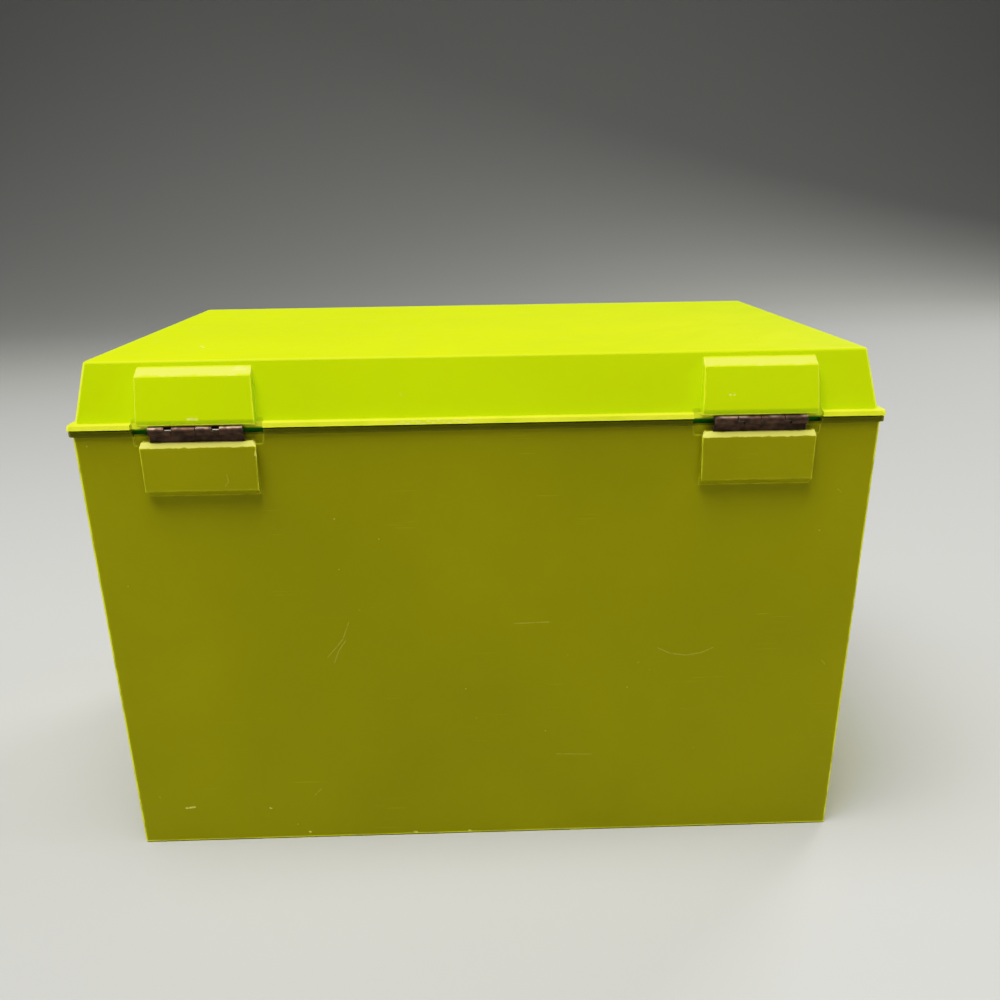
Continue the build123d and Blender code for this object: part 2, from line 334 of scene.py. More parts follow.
def belt(tree, height, low, high, strength):
    """A level belt round a piece, with soft borders."""
    above = add(tree, "MapRange", {"Value": height, "From Min": low - 0.08 * mm, "From Max": low + 0.04 * mm})
    below = add(tree, "MapRange", {"Value": height, "From Min": high + 0.08 * mm,
                                   "From Max": high - 0.04 * mm})
    inside = add(tree, "Math", {0: above.outputs["Result"], 1: below.outputs["Result"]}, operation="MULTIPLY")
    return add(tree, "Math", {0: inside.outputs["Value"], 1: strength}, operation="MULTIPLY").outputs["Value"]


def hairlines(tree, place):
    """Fine scratches from handling: noise drawn out in four directions, of which only the peaks show."""
    peaks = 0.0
    for turn, spread in (((0, 24, 0), 40), ((0, -55, 0), 50), ((0, 0, 38), 40), ((0, 78, 20), 50)):
        turned = add(tree, "Mapping", {"Vector": place, "Rotation": [math.radians(angle) for angle in turn],
                                       "Scale": (1 / spread, 1, 1)}).outputs["Vector"]
        noise = add(tree, "TexNoise", {"Vector": turned, "Scale": 1 / (0.3 * mm), "Detail": 1.0})
        lines = add(tree, "MapRange", {"Value": noise.outputs["Fac"], "From Min": 0.74,
                                       "From Max": 0.8}).outputs["Result"]
        peaks = add(tree, "Math", {0: lines, 1: peaks}, operation="MAXIMUM").outputs["Value"]
    return peaks


def distance_to(tree, place, lines):
    """How far a place is from the nearest of some short straight lines, given in millimetres."""
    nearest = 1.0
    for start, end in lines:
        start, run = Vector(start) * mm, (Vector(end) - Vector(start)) * mm
        step = run / run.length_squared
        share = add(tree, "VectorMath", {0: place, 1: step}, operation="DOT_PRODUCT").outputs["Value"]
        share = add(tree, "Math", {0: share, 1: start.dot(step)}, operation="SUBTRACT", use_clamp=True)
        on_line = add(tree, "VectorMath", {0: run, 1: share.outputs["Value"], 2: start},
                      operation="MULTIPLY_ADD").outputs["Vector"]
        away = add(tree, "VectorMath", {0: place, 1: on_line}, operation="DISTANCE").outputs["Value"]
        nearest = add(tree, "Math", {0: away, 1: nearest}, operation="MINIMUM").outputs["Value"]
    return nearest


# Pale lime for wear on edges, rim and scratches, also used as a painted highlight on edges, upright corners
# and the flange; paler lime for nicks and marks, also used as a painted highlight on the pads' sloping tops
# and a painted glint on a lid pad; dark olive used as painted shade in crevices and under the flange
lime_rubbed_and_highlight = "#e8ee3c"
lime_pale_wear_and_sheen = "#efec84"
lime_painted_shade = "#4c5000"


def moulded_polystyrene(name, shade, deep_shade, rim, flange_shade, lean, wall, sheen_facets, scratches, knocks_and_glints):
    """High impact polystyrene from a satin mould: cloudy, with a soft gloss. Its edges and rim are painted
    paler, partly as wear and partly as a painted highlight; its upright corners and the pads' sloping tops
    take a painted highlight, and the marks of use are pale, one pair on the lid being a painted glint.
    Crevices and a belt under the flange take painted shade. rim, flange_shade and sheen_facets are (low,
    high, strength); lean and wall say where the back wall's face is."""
    material = bpy.data.materials.new(name)
    material.use_nodes = True
    tree = material.node_tree
    shader = tree.nodes["Principled BSDF"]
    where = add(tree, "TexCoord", {})
    place = where.outputs["Object"]
    level = add(tree, "SeparateXYZ", {"Vector": place}).outputs["Z"]

    # Patchy patterns, by their real size, each spread to run from 0 to 1
    pattern = {}
    for use, size, detail, low, high in (
            ("cloud", 45 * mm, 3.0, 0.3, 0.7), ("crevice_patches", 5 * mm, 4.0, 0.2, 0.6),
            ("rim_patches", 9 * mm, 5.0, 0.1, 0.55), ("chipping", 3 * mm, 4.0, 0.25, 0.55),
            ("patches", 16 * mm, 2.0, 0.55, 0.68), ("breaks", 0.8 * mm, 2.0, 0.25, 0.5),
            ("ragged", 1.6 * mm, 3.0, 0.2, 0.8), ("satin", 0.9 * mm, 2.0, 0.2, 0.8),
            ("ripple", 11 * mm, 1.0, 0.2, 0.8), ("gloss", 6 * mm, 4.0, 0.3, 0.7)):
        noise = add(tree, "TexNoise", {"Vector": place, "Scale": 1 / size, "Detail": detail}).outputs["Fac"]
        spread = add(tree, "MapRange", {"Value": noise, "From Min": low, "From Max": high})
        pattern[use] = spread.outputs["Result"]

    # Painted shade: the colour darkens in crevices, where ambient occlusion finds little open air, in patches
    open_air = add(tree, "AmbientOcclusion", {"Distance": 0.9 * mm}, samples=3, only_local=True).outputs["AO"]
    crevice_shade = add(tree, "MapRange", {"Value": open_air, "From Min": 0.6, "From Max": 0.2}).outputs["Result"]
    crevice_shade = add(tree, "Math", {0: crevice_shade, 1: pattern["crevice_patches"]}, operation="MULTIPLY").outputs["Value"]

    # Every edge is painted paler, partly as wear and partly as a painted highlight; the four upright corners
    # take a painted highlight
    rounded = add(tree, "Bevel", {"Radius": 0.5 * mm}, samples=3).outputs["Normal"]
    flat = add(tree, "NewGeometry", {}).outputs["Normal"]
    along = add(tree, "VectorMath", {0: rounded, 1: flat}, operation="DOT_PRODUCT").outputs["Value"]
    edge = add(tree, "MapRange", {"Value": along, "From Min": 0.99, "From Max": 0.94}).outputs["Result"]
    facing = add(tree, "SeparateXYZ", {"Vector": where.outputs["Normal"]}).outputs
    corner_highlight = add(tree, "Math", {0: facing["X"], 1: facing["Y"]}, operation="MULTIPLY").outputs["Value"]
    corner_highlight = add(tree, "Math", {0: corner_highlight}, operation="ABSOLUTE").outputs["Value"]
    corner_highlight = add(tree, "MapRange", {"Value": corner_highlight, "From Min": 0.2, "From Max": 0.42}).outputs["Result"]
    wear_and_highlight = add(tree, "Math", {0: edge, 1: corner_highlight}, operation="MAXIMUM").outputs["Value"]
    wear_and_highlight = add(tree, "Math", {0: wear_and_highlight, 1: pattern["chipping"]}, operation="MULTIPLY").outputs["Value"]

    # Belts round the piece: its rim, painted paler as wear and as a painted highlight; a belt under the
    # flange, painted darker as painted shade; and the pads' sloping tops, painted whitish as a painted
    # highlight, with a border chipped ragged
    chips = add(tree, "Math", {0: pattern["ragged"], 1: -0.5}, operation="ADD").outputs["Value"]
    chips = add(tree, "Math", {0: chips, 1: 0.5 * mm, 2: level}, operation="MULTIPLY_ADD").outputs["Value"]
    rim_wear_and_highlight = belt(tree, level, *rim)
    rim_wear_and_highlight = add(tree, "Math", {0: rim_wear_and_highlight, 1: pattern["rim_patches"]}, operation="MULTIPLY").outputs["Value"]
    flange_shaded = belt(tree, level, *flange_shade)
    proud = add(tree, "VectorMath", {0: place, 1: (0, 1, lean)}, operation="DOT_PRODUCT").outputs["Value"]
    proud = add(tree, "MapRange", {"Value": proud, "From Min": wall + 0.15 * mm, "From Max": wall + 0.4 * mm})
    facet_sheen = belt(tree, chips, *sheen_facets)
    facet_sheen = add(tree, "Math", {0: facet_sheen, 1: proud.outputs["Result"]}, operation="MULTIPLY")
    facet_sheen = facet_sheen.outputs["Value"]

    # Hairline scratches lie in patches, and nicks are pale specks a few millimetres apart
    scratched = add(tree, "Math", {0: hairlines(tree, place), 1: pattern["patches"]}, operation="MULTIPLY")
    scratched = scratched.outputs["Value"]
    cells = add(tree, "TexVoronoi", {"Vector": place, "Scale": 1 / (4.5 * mm)}).outputs
    nick = add(tree, "MapRange", {"Value": cells["Distance"], "From Min": 0.055, "From Max": 0.025})
    chosen = add(tree, "SeparateColor", {"Color": cells["Color"]}).outputs["Red"]
    chosen = add(tree, "Math", {0: chosen, 1: 0.8}, operation="GREATER_THAN").outputs["Value"]
    nick = add(tree, "Math", {0: nick.outputs["Result"], 1: chosen}, operation="MULTIPLY").outputs["Value"]

    # The marks of use: fine scratches and broader knocks, broken up where they skipped; on the lid, two broad
    # marks on a pad's crown are a painted glint
    fine = add(tree, "MapRange", {"Value": distance_to(tree, place, scratches), "From Min": 0.16 * mm,
                                  "From Max": 0.06 * mm, "To Max": 0.28}).outputs["Result"]
    broad = add(tree, "MapRange", {"Value": distance_to(tree, place, knocks_and_glints), "From Min": 0.32 * mm,
                                   "From Max": 0.14 * mm}).outputs["Result"]
    marked = add(tree, "Math", {0: fine, 1: broad}, operation="MAXIMUM").outputs["Value"]
    marked = add(tree, "Math", {0: marked, 1: pattern["breaks"]}, operation="MULTIPLY").outputs["Value"]

    colour = linear(shade)
    for cover, strength, tint in (
            (pattern["cloud"], 1.0, deep_shade), (crevice_shade, 0.45, lime_painted_shade), (wear_and_highlight, 0.7, lime_rubbed_and_highlight),
            (flange_shaded, 1.0, lime_painted_shade), (rim_wear_and_highlight, 1.0, lime_rubbed_and_highlight), (scratched, 0.18, lime_rubbed_and_highlight),
            (nick, 0.35, lime_pale_wear_and_sheen), (facet_sheen, 1.0, lime_pale_wear_and_sheen), (marked, 0.7, lime_pale_wear_and_sheen)):
        share = add(tree, "Math", {0: cover, 1: strength}, operation="MULTIPLY").outputs["Value"]
        colour = add(tree, "Mix", {0: share, 6: colour, 7: linear(tint)}, data_type="RGBA").outputs[2]

    # The satin of the mould, a slight ripple where the wall has sunk, and the scratches and chips
    height = add(tree, "Math", {0: pattern["satin"], 1: 0.012 * mm}, operation="MULTIPLY").outputs["Value"]
    for cover, rise in ((pattern["ripple"], 0.05), (scratched, -0.01), (nick, -0.02), (marked, -0.02)):
        height = add(tree, "Math", {0: cover, 1: rise * mm, 2: height}, operation="MULTIPLY_ADD")
        height = height.outputs["Value"]
    bump = add(tree, "Bump", {"Height": height, "Strength": 1.0, "Distance": 1.0}).outputs["Normal"]
    rough = add(tree, "MapRange", {"Value": pattern["gloss"], "To Min": 0.34, "To Max": 0.46})
    rough = rough.outputs["Result"]
    rough = add(tree, "Math", {0: scratched, 1: 0.15, 2: rough}, operation="MULTIPLY_ADD").outputs["Value"]
    tree.links.new(colour, shader.inputs["Base Color"])
    tree.links.new(rough, shader.inputs["Roughness"])
    tree.links.new(bump, shader.inputs["Normal"])
    shader.inputs["IOR"].default_value = 1.5
    shader.inputs["Specular IOR Level"].default_value = 0.08
    return material


def finished(piece, body, material, slot, *nodes):
    """Smooths a finished piece between its true edges, gives it its material, hides the CAD parts it stands
    in for and sets it on its body's empty.
    """
    piece.data.shade_smooth()
    piece.data.set_sharp_from_angle(angle=math.radians(38))
    piece.data.materials.clear()
    piece.data.materials.append(material)
    shading = piece.modifiers.new("even_shading", "WEIGHTED_NORMAL")
    shading.keep_sharp = True
    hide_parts(*nodes)
    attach(piece, body)


def slit_shade_polystyrene():
    """The same plastic at the bottom of the slits beside the hinges, painted deep green and matt: painted
    shade, tinted as light seen through the thin green lip.
    """
    material = bpy.data.materials.new("slit_shade_lime_polystyrene")
    material.use_nodes = True
    tree = material.node_tree
    shader = tree.nodes["Principled BSDF"]
    place = add(tree, "TexCoord", {}).outputs["Object"]
    patchy = add(tree, "TexNoise", {"Vector": place, "Scale": 1 / (1.5 * mm), "Detail": 4.0}).outputs["Fac"]
    colour = add(tree, "Mix", {0: patchy, 6: linear("#00a83c"), 7: linear("#2c8c00")}, data_type="RGBA")
    tree.links.new(colour.outputs[2], shader.inputs["Base Color"])
    shader.inputs["Roughness"].default_value = 0.7
    shader.inputs["Specular IOR Level"].default_value = 0.1
    return material


# The tub's colours: the same lime plastic as the lid's, painted darker and more olive as painted shade
shaded_lime = "#a8a600"
shaded_lime_deep = "#a09e00"

# Marks of use on the tub's back, each the start and end of a short line in millimetres
tub_scratches = [
    ((29.5, 53.9, 54.6), (31.0, 53.7, 50.6)), ((31.0, 53.7, 50.6), (34.5, 53.6, 46.4)),
    ((30.4, 53.7, 50.2), (32.0, 53.6, 48.0)), ((32.0, 53.6, 48.0), (33.1, 53.5, 45.1)),
    ((-38.5, 53.6, 46.7), (-41.2, 53.5, 45.3)), ((-41.2, 53.5, 45.3), (-44.8, 53.5, 44.7)),
    ((-44.8, 53.5, 44.7), (-48.4, 53.5, 45.3)), ((-48.4, 53.5, 45.3), (-50.8, 53.6, 46.4)),
    ((-16.1, 52.6, 20.5), (-24.2, 52.6, 20.2)), ((-6.6, 53.8, 53.4), (-14.3, 53.8, 53.6)),
    ((39.7, 52.2, 11.4), (38.1, 52.3, 13.0)), ((-76.5, 54.9, 82.1), (-75.7, 55.0, 82.8)),
    ((-34.1, 53.4, 43.1), (-34.4, 53.4, 43.3)), ((27.1, 54.0, 57.6), (26.9, 54.0, 57.4)),
    ((2.2, 52.9, 30.4), (2.0, 52.9, 30.3)), ((-47.5, 52.6, 21.1), (-47.9, 52.6, 21.2)),
    ((75.3, 52.2, 12.2), (75.0, 52.2, 11.8)), ((-76.4, 53.4, 41.6), (-75.6, 53.4, 42.6)),
    ((52.2, 57.4, 89.3), (52.0, 57.3, 87.8)), ((52.0, 57.3, 87.8), (52.8, 57.3, 86.8)),
]
tub_knocks = [
    ((69.4, 52.1, 8.9), (67.5, 52.1, 9.1)), ((50.2, 52.1, 8.3), (49.9, 52.1, 8.2)),
    ((17.2, 51.8, 0.8), (16.6, 51.8, 0.7)), ((4.4, 51.8, 0.7), (3.9, 51.8, 0.6)),
    ((41.6, 51.8, 1.6), (41.3, 51.8, 1.5)), ((45.9, 57.6, 94.0), (46.0, 57.6, 93.4)),
]
tub_plastic = moulded_polystyrene(
    "moulded_shaded_lime_polystyrene", shaded_lime, shaded_lime_deep,
    rim=(-0.2 * mm, 0.5 * mm, 0.8),
    # The band under the flange is painted darker: painted shade
    flange_shade=(mouth_z - band_height - 0.2 * mm, mouth_z, 0.7),
    lean=-tub_lean,
    wall=tub_wall_y(0),
    # The pads' sloping tops are painted whitish: a painted highlight, with a chipped ragged border
    sheen_facets=(pad_face_top, pad_top, 0.8),
    scratches=tub_scratches,
    knocks_and_glints=tub_knocks,
)
finished(tub, "box", tub_plastic, "lime_plastic", "tub")
# The faces at the bottom of the slits beside the hinges take the second material: painted shade
tub.data.materials.append(slit_shade_polystyrene())
slit_back = case_middle + mouth_depth / 2 - lip_inset
slack = 0.1 * mm
for face in tub.data.polygons:
    middle = face.center
    beside = abs(abs(middle.x) - hinge_spacing / 2) < notch_width / 2
    if beside and slit_back - slack < middle.y < notch_back and land_foot - slack < middle.z:
        face.material_index = 1


# Lid: the shallow cover, moulded in one piece from the same lime polystyrene and hinged to the tub at the
# back. Its walls lean in to a flat top, and a flange with a slightly tilted face runs round its foot and
# stands proud of the band below.
lid_foot_z = mouth_z + 0.1 * mm
lid_foot_width = mouth_width - 1.6 * mm
lid_foot_depth = mouth_depth - 0.2 * mm
lid_corner = 0.8 * mm
wall_foot_z = lid_foot_z + 1.6 * mm
lid_top_z = wall_foot_z + 12.3 * mm
lid_slope = math.radians(10.9)
lid_lean = math.tan(lid_slope)
lid_wall = 1.8 * mm
flange_proud = 1.4 * mm
flange_z = lid_foot_z + 0.28 * mm
flange_top_z = flange_z + 1.12 * mm
rebate_z = lid_foot_z + 1.5 * mm
rebate_clearance = 0.3 * mm
rebate_width = mouth_width - 2 * lip_inset + rebate_clearance
rebate_depth = mouth_depth - 2 * lip_inset + rebate_clearance


def lid_ring(inset, height, rounding=0.0):
    """A ring of the lid, set in from the outline of its foot."""
    return (lid_foot_width - 2 * inset, lid_foot_depth - 2 * inset, height, rounding)


top_inset = (lid_top_z - wall_foot_z) * lid_lean
ceiling_z = lid_top_z - 1.9 * mm
lid = made("lid_moulding", ringed(lid_corner, [
    lid_ring(lid_wall + (ceiling_z - wall_foot_z) * lid_lean, ceiling_z, 0.7 * mm),
    lid_ring(lid_wall, rebate_z),
    (rebate_width, rebate_depth, rebate_z, 0),
    (rebate_width, rebate_depth, lid_foot_z, 0.1 * mm),
    lid_ring(0, lid_foot_z, 0.1 * mm),
    lid_ring(0, flange_z),
    lid_ring(-flange_proud, flange_z, 0.08 * mm),
    lid_ring(0.2 * mm - flange_proud, flange_top_z, 0.2 * mm),
    lid_ring(0, flange_top_z),
    lid_ring(top_inset, lid_top_z, 0.6 * mm),
]))

notch_top = wall_foot_z + 0.65 * mm
lid_notch_back = notch_back + 0.18 * mm
for side in (1, -1):
    middle = side * hinge_spacing / 2 + notch_shift[side]
    outline = [(middle - notch_width / 2, lid_notch_back, lid_foot_z - beyond),
               (middle + notch_width / 2, lid_notch_back, lid_foot_z - beyond),
               (middle + notch_width / 2, lid_notch_back, notch_top),
               (middle - notch_width / 2, lid_notch_back, notch_top)]
    carve(lid, made("notch", drawn_out(outline, (0, beyond, 0), notch_corner)))

# Lid pads: blocks like the tub's, wider at the foot, with a long sloping crown that catches the light
crown_z = lid_top_z - 1.2 * mm
crown_foot_z = crown_z - 1.75 * mm
block_foot_z = lid_foot_z + 1.05 * mm
block_face_z = block_foot_z + 1.15 * mm


def lid_wall_y(z):
    """How far back the face of the lid's back wall is at a height."""
    return case_middle + lid_foot_depth / 2 - (z - wall_foot_z) * lid_lean


for side in (1, -1):
    block = pad(side, [
        (notch_back - 0.9 * mm, block_foot_z, 11.8 * mm, 12.1 * mm),
        (pad_mouth + 0.4 * mm, block_foot_z, 11.8 * mm, 12.1 * mm),
        (lid_wall_y(block_face_z) + pad_proud, block_face_z, 11.95 * mm, 12.05 * mm),
        (lid_wall_y(crown_foot_z) + pad_proud, crown_foot_z, 11.8 * mm, 11.6 * mm),
        (lid_wall_y(crown_z) - 0.1 * mm, crown_z, 11.7 * mm, 11.5 * mm),
        (lid_wall_y(crown_z) - 0.7 * mm, crown_z, 11.7 * mm, 11.5 * mm),
    ], 0.22 * mm)
    carve(lid, made("pad", block), "UNION")
    slot = pocket(lid_slope, 0)
    bmesh.ops.translate(slot, verts=slot.verts, vec=(side * hinge_spacing / 2, 0, 0))
    carve(lid, made("pocket", slot))
    carve(lid, pegs(side * hinge_spacing / 2, lid_slope, 0), "UNION")

# The lid's colours: the plastic's own lime; the tub's olive colours are a painted-shade copy of it
lime = "#c4de00"
lime_deep = "#bcd600"

# Marks of use on the lid, in the same form as the tub's, and a painted glint on a lid pad's crown
lid_scratches = [
    ((50.0, -9.7, 112.5), (49.6, -15.6, 112.5)), ((18.9, 22.3, 112.5), (13.4, 24.9, 112.5)),
    ((19.7, 17.4, 112.5), (12.3, -0.4, 112.5)), ((6.9, -11.2, 112.5), (5.5, -1.6, 112.5)),
    ((-18.5, 32.2, 112.5), (-20.2, 25.1, 112.5)), ((-55.2, 24.5, 112.5), (-55.0, 30.2, 112.5)),
    ((58.6, 57.4, 101.5), (57.8, 57.4, 101.6)), ((11.2, 56.9, 99.4), (8.2, 56.9, 99.5)),
    ((5.1, 56.9, 99.2), (1.0, 56.9, 99.3)), ((15.9, 54.6, 104.5), (16.3, 54.5, 105.3)),
]
lid_knocks_and_glint = [
    ((61.8, 31.5, 112.5), (60.3, 34.3, 112.5)), ((59.2, 57.5, 101.1), (57.2, 57.5, 101.0)),
    # These two marks on the crown of the right lid pad are a painted glint
    ((49.8, 54.4, 110.5), (47.4, 54.3, 110.6)), ((49.4, 53.9, 110.9), (48.0, 53.8, 111.0)),
    ((-51.2, 57.0, 103.9), (-51.3, 57.0, 103.9)), ((-52.2, 57.0, 103.9), (-52.3, 57.0, 103.9)),
]

# A stretch of the flange has been scraped rough: chips at uneven heights on its face
for step in range(15):
    chip_x = 17.0 - 1.05 * step
    chip_z = 99.1 + 0.7 * (0.618 * step % 1)
    chip_y = 56.85 - 0.18 * (chip_z - 98.9)
    lid_knocks_and_glint.append(((chip_x, chip_y, chip_z), (chip_x - 0.4, chip_y, chip_z)))

lid_plastic = moulded_polystyrene(
    "moulded_lime_polystyrene", lime, lime_deep,
    # The flange's face is painted paler: a painted highlight, broken up in patches, with some wear
    rim=(flange_z, flange_top_z, 0.95),
    # A thin belt at the lid's foot, under the flange, is painted darker: painted shade
    flange_shade=(lid_foot_z, lid_foot_z + 0.2 * mm, 0.5),
    lean=lid_lean,
    wall=lid_wall_y(0),
    # The pads' sloping crowns are painted whitish: a painted highlight
    sheen_facets=(crown_foot_z + 0.15 * mm, crown_z + 0.2 * mm, 0.45),
    scratches=lid_scratches,
    knocks_and_glints=lid_knocks_and_glint,
)
finished(lid, "lid", lid_plastic, "lime_plastic", "lid")


# Hinge leaves: four stampings of thin steel with a brown plating. Each is a plate with two tabs rolled round
# the pin; moulded pegs hold it in its pad. On one leaf of each hinge the roll's ends are cut narrower.
knuckle_pitch = hinge_length / 4
knuckle_gap = 0.14 * mm
knuckle_width = knuckle_pitch - knuckle_gap
neck_z = 1.13 * mm
roll_angle = 112
roll_step = 8
tip_cut = 1.4 * mm


def leaf(cut):
    """A leaf in its own frame: the pin along X, the plate upwards, the tabs rolled round the pin."""
    half = hinge_length / 2
    back = -barrel_radius
    points = [(-half, leaf_reach), (-half, neck_z)]
    for middle in (-knuckle_pitch / 2, 1.5 * knuckle_pitch):
        low, high = middle - knuckle_width / 2, middle + knuckle_width / 2
        points += [(low, neck_z), (low, 0), (low + tip_cut, 0), (high, 0), (high, neck_z)]
    points += [(half, neck_z), (half, leaf_reach)]
    mesh = bmesh.new()
    mesh.faces.new([mesh.verts.new((x, back, z)) for x, z in points])
    far = [vert for vert in mesh.verts if vert.co.z > leaf_reach - 0.1 * mm]
    bmesh.ops.bevel(mesh, geom=far, offset=1.2 * mm, offset_type="OFFSET", segments=6, profile=0.5,
                    material=-1, affect="VERTICES")
    drawn = bmesh.ops.extrude_face_region(mesh, geom=mesh.faces[:], use_keep_orig=True)["geom"]
    moved = [part for part in drawn if isinstance(part, bmesh.types.BMVert)]
    bmesh.ops.translate(mesh, verts=moved, vec=(0, sheet, 0))
    for middle in (-knuckle_pitch / 2, 1.5 * knuckle_pitch):
        low = middle - knuckle_width / 2
        ends = [face for face in mesh.faces if face.calc_center_median().z < 0.01 * mm
                and low < face.calc_center_median().x < low + knuckle_width]
        for angle, narrower in ((180, False), (roll_angle, cut)):
            if narrower:
                ends = [face for face in ends if face.calc_center_median().x > low + tip_cut]
            region = ends + [edge for face in ends for edge in face.edges]
            region += [vert for face in ends for vert in face.verts]
            last = bmesh.ops.spin(mesh, geom=list(dict.fromkeys(region)), cent=(0, 0, 0), axis=(1, 0, 0),
                                  angle=math.radians(angle), steps=angle // roll_step, use_merge=False,
                                  use_duplicate=False)["geom_last"]
            ends = [part for part in last if isinstance(part, bmesh.types.BMFace)]
    bmesh.ops.remove_doubles(mesh, verts=mesh.verts, dist=0.002 * mm)
    return made("leaf", mesh)


plating = "#63493a"
plating_dark = "#3d2d24"
bare_steel_and_sheen = "#b0a090"


def plated_steel():
    """Thin steel with a brown plating: dark and dull, with wear to bare metal on its edges. Its rolled tops
    are painted paler towards bare steel by height: a painted highlight, with some wear.
    """
    material = bpy.data.materials.new("brown_plated_steel")
    material.use_nodes = True
    tree = material.node_tree
    shader = tree.nodes["Principled BSDF"]
    place = add(tree, "TexCoord", {}).outputs["Object"]
    mottle = add(tree, "TexNoise", {"Vector": place, "Scale": 1 / (1.6 * mm), "Detail": 5.0}).outputs["Fac"]
    mottle = add(tree, "MapRange", {"Value": mottle, "From Min": 0.35, "From Max": 0.65}).outputs["Result"]
    colour = add(tree, "Mix", {0: mottle, 6: linear(plating), 7: linear(plating_dark)}, data_type="RGBA")
    rounded = add(tree, "Bevel", {"Radius": 0.12 * mm}, samples=4).outputs["Normal"]
    flat = add(tree, "NewGeometry", {}).outputs["Normal"]
    along = add(tree, "VectorMath", {0: rounded, 1: flat}, operation="DOT_PRODUCT").outputs["Value"]
    edge = add(tree, "MapRange", {"Value": along, "From Min": 0.99, "From Max": 0.9}).outputs["Result"]
    fine = add(tree, "TexNoise", {"Vector": place, "Scale": 1 / (0.5 * mm), "Detail": 3.0}).outputs["Fac"]
    fine = add(tree, "MapRange", {"Value": fine, "From Min": 0.4, "From Max": 0.62}).outputs["Result"]
    height = add(tree, "SeparateXYZ", {"Vector": place}).outputs["Z"]
    # The rolled tops are painted paler by height: a painted highlight, with some wear
    tops_sheen_and_wear = add(tree, "MapRange", {"Value": height, "From Min": axis_z + 0.55 * barrel_radius,
                                 "From Max": axis_z + 0.95 * barrel_radius}).outputs["Result"]
    top_patches = add(tree, "TexNoise", {"Vector": place, "Scale": 1 / (4 * mm), "Detail": 3.0}).outputs["Fac"]
    top_patches = add(tree, "MapRange", {"Value": top_patches, "From Min": 0.4, "From Max": 0.52}).outputs["Result"]
    tops_sheen_and_wear = add(tree, "Math", {0: tops_sheen_and_wear, 1: top_patches}, operation="MULTIPLY").outputs["Value"]
    wear_and_highlight = add(tree, "Math", {0: edge, 1: fine}, operation="MULTIPLY").outputs["Value"]
    wear_and_highlight = add(tree, "Math", {0: wear_and_highlight, 1: tops_sheen_and_wear}, operation="MAXIMUM").outputs["Value"]
    wear_and_highlight = add(tree, "Math", {0: wear_and_highlight, 1: 0.7}, operation="MULTIPLY").outputs["Value"]
    colour = add(tree, "Mix", {0: wear_and_highlight, 6: colour.outputs[2], 7: linear(bare_steel_and_sheen)}, data_type="RGBA")
    bump = add(tree, "Bump", {"Height": fine, "Strength": 0.6, "Distance": 0.01 * mm})
    rough = add(tree, "MapRange", {"Value": mottle, "To Min": 0.45, "To Max": 0.6}).outputs["Result"]
    tree.links.new(colour.outputs[2], shader.inputs["Base Color"])
    tree.links.new(rough, shader.inputs["Roughness"])
    tree.links.new(bump.outputs["Normal"], shader.inputs["Normal"])
    shader.inputs["Metallic"].default_value = 0.85
    return material


brown_steel = plated_steel()
leaf_places = {
    "right_hinge_lid_leaf": (1, lid_slope, 0, "lid", True),
    "right_hinge_tub_leaf": (1, -tub_draft, 180, "box", False),
    "left_hinge_lid_leaf": (-1, lid_slope, 0, "lid", False),
    "left_hinge_tub_leaf": (-1, -tub_draft, 180, "box", True),
}
for name, (side, lean, turn, body, cut) in leaf_places.items():
    stamping = leaf(cut)
    stamping.name = name + "_stamping"
    holes = bmesh.new()
    for offset in (-hole_offset, hole_offset):
        place = Matrix.Translation((offset, sheet_middle, hole_reach)) @ Matrix.Rotation(math.pi / 2, 4, "X")
        bmesh.ops.create_cone(holes, cap_ends=True, segments=32, radius1=hole_radius, radius2=hole_radius,
                              depth=2 * mm, matrix=place)
    carve(stamping, made("holes", holes))
    stamping.data.transform(hinge_place(side * hinge_spacing / 2, lean, turn))
    softened = stamping.modifiers.new("broken_edges", "BEVEL")
    softened.width = 0.05 * mm
    softened.segments = 2
    softened.limit_method = "ANGLE"
    softened.angle_limit = math.radians(40)
    finished(stamping, body, brown_steel, "brown_steel", name)


# Hinge pins: two pieces of bright drawn steel wire, cut to the length of the barrel and pushed through its
# knuckles, with the rims of their ends rounded off.
pin_radius = 0.5 * mm


def drawn_wire():
    """Drawn steel wire: smooth, with fine lines along its length, and painted dark: painted shade inside the
    barrel.
    """
    material = bpy.data.materials.new("drawn_steel_wire")
    material.use_nodes = True
    tree = material.node_tree
    shader = tree.nodes["Principled BSDF"]
    place = add(tree, "TexCoord", {}).outputs["Object"]
    stretched = add(tree, "Mapping", {"Vector": place, "Scale": (0.05, 1, 1)}).outputs["Vector"]
    lines = add(tree, "TexNoise", {"Vector": stretched, "Scale": 1 / (0.08 * mm), "Detail": 2.0})
    lines = lines.outputs["Fac"]
    # The wire's bright steel is painted dark: painted shade inside the barrel, where only small glints show
    colour = add(tree, "Mix", {0: lines, 6: linear("#6f6a62"), 7: linear("#3f3b36")}, data_type="RGBA")
    bump = add(tree, "Bump", {"Height": lines, "Strength": 0.4, "Distance": 0.005 * mm})
    tree.links.new(colour.outputs[2], shader.inputs["Base Color"])
    tree.links.new(bump.outputs["Normal"], shader.inputs["Normal"])
    shader.inputs["Metallic"].default_value = 1.0
    shader.inputs["Roughness"].default_value = 0.3
    return material


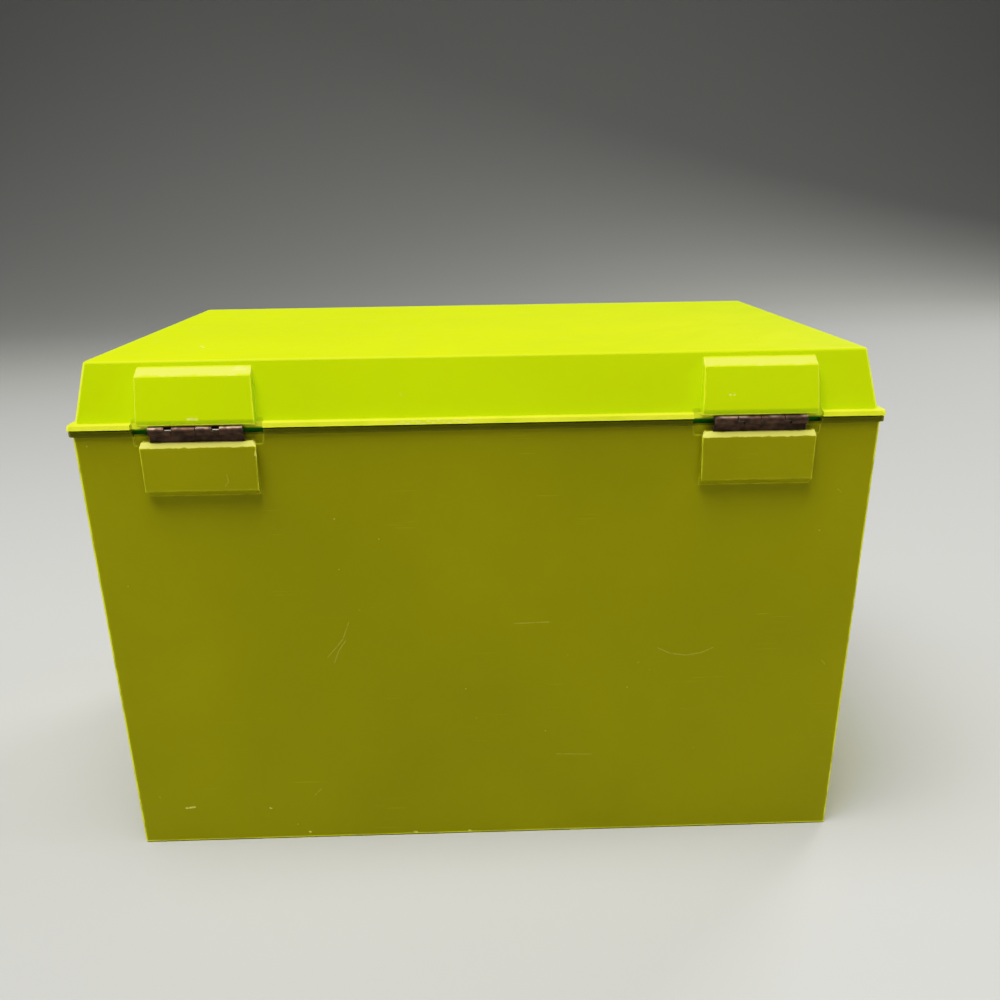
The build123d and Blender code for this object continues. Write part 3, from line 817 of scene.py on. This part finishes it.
shade_darkened_steel = drawn_wire()
for name, side in (("right_hinge_pin", 1), ("left_hinge_pin", -1)):
    wire = bmesh.new()
    place = hinge_place(side * hinge_spacing / 2, 0, 0) @ Matrix.Rotation(math.pi / 2, 4, "Y")
    bmesh.ops.create_cone(wire, cap_ends=True, segments=40, radius1=pin_radius, radius2=pin_radius,
                          depth=hinge_length, matrix=place)
    rims = [edge for edge in wire.edges if abs(edge.verts[0].co.x - edge.verts[1].co.x) < 0.01 * mm]
    bmesh.ops.bevel(wire, geom=rims, offset=0.15 * mm, offset_type="OFFSET", segments=3, profile=0.5,
                    material=-1, affect="EDGES")
    finished(made(name + "_wire", wire), "box", shade_darkened_steel, "pin_steel", name)


# Studio: a plain pale floor of paper that sweeps up far behind the box, one large soft light almost
# overhead, a weak warm fill from the viewer's side, and soft lights at both sides and at the box's front
def paper_sweep():
    """The floor, and the backdrop that it bends up into beyond the box's front."""
    mesh = bmesh.new()
    floor = Matrix.Translation((0, 1.4, -0.02 * mm)) @ Matrix.Diagonal((14, 4, 1, 1))
    bmesh.ops.create_grid(mesh, x_segments=1, y_segments=1, size=1, matrix=floor)
    far = [edge for edge in mesh.edges if all(vert.co.y < -2 for vert in edge.verts)]
    drawn = bmesh.ops.extrude_edge_only(mesh, edges=far)["geom"]
    raised = [part for part in drawn if isinstance(part, bmesh.types.BMVert)]
    bmesh.ops.translate(mesh, verts=raised, vec=(0, 0, 4))
    bmesh.ops.bevel(mesh, geom=far, offset=1.6, offset_type="OFFSET", segments=16, profile=0.5, material=-1,
                    affect="EDGES")
    sweep = made("paper_sweep", mesh)
    sweep.data.shade_smooth()
    material = bpy.data.materials.new("pale_paper")
    material.use_nodes = True
    shader = material.node_tree.nodes["Principled BSDF"]
    shader.inputs["Base Color"].default_value = linear("#b2b2b0")
    shader.inputs["Roughness"].default_value = 0.85
    sweep.data.materials.append(material)


def soft_light(name, place, size, power, colour, aim=(0, 0, 0.07)):
    """A square soft light, turned to the middle of the box."""
    lamp = bpy.data.lights.new(name, "AREA")
    lamp.size = size
    lamp.energy = power
    lamp.color = colour
    holder = bpy.data.objects.new(name, lamp)
    holder.location = place
    holder.rotation_euler = (Vector(aim) - Vector(place)).to_track_quat("-Z", "Y").to_euler()
    bpy.context.scene.collection.objects.link(holder)


paper_sweep()

warm = (1.0, 0.88, 0.7)
neutral = (1.0, 1.0, 0.98)
pale = (1.0, 1.0, 0.96)
soft_light("overhead", (0.16, 0.28, 1.02), 0.75, 17.2, neutral)
soft_light("fill", (-0.3, 1.0, 0.25), 0.8, 0.9, warm)
soft_light("front", (-0.8, -0.95, 0.9), 0.5, 9.0, neutral)
soft_light("left_side", (1.4, 0.02, 0.3), 0.4, 9.0, pale)
soft_light("right_side", (-1.4, 0.02, 0.3), 0.4, 9.0, pale)

world = bpy.data.worlds.new("studio")
bpy.context.scene.world = world
world.use_nodes = True
world.node_tree.nodes["Background"].inputs["Color"].default_value = linear("#8c8c8c")
world.node_tree.nodes["Background"].inputs["Strength"].default_value = 0.15

# The film's response: full shadows and a long soft shoulder, so that the bright lid keeps its colour
view = bpy.context.scene.view_settings
view.view_transform = "Standard"
view.use_curve_mapping = True
response = view.curve_mapping
response.white_level = (2.0, 2.0, 2.0)
for light, shown in ((0.06, 0.085), (0.135, 0.205), (0.275, 0.515), (0.55, 0.86)):
    response.curves[3].points.new(light, shown)
response.update()

# Camera: stands behind the box, a little above the lid, as in the photograph
lens = bpy.data.cameras.new("camera")
lens.lens = 37.8
lens.sensor_width = 36
lens.clip_start = 0.01
camera = bpy.data.objects.new("camera", lens)
camera.location = (1.46 * mm, 267.97 * mm, 142.37 * mm)
camera.rotation_euler = (math.radians(74.173), math.radians(0.810), math.radians(178.326))
bpy.context.scene.collection.objects.link(camera)
bpy.context.scene.camera = camera
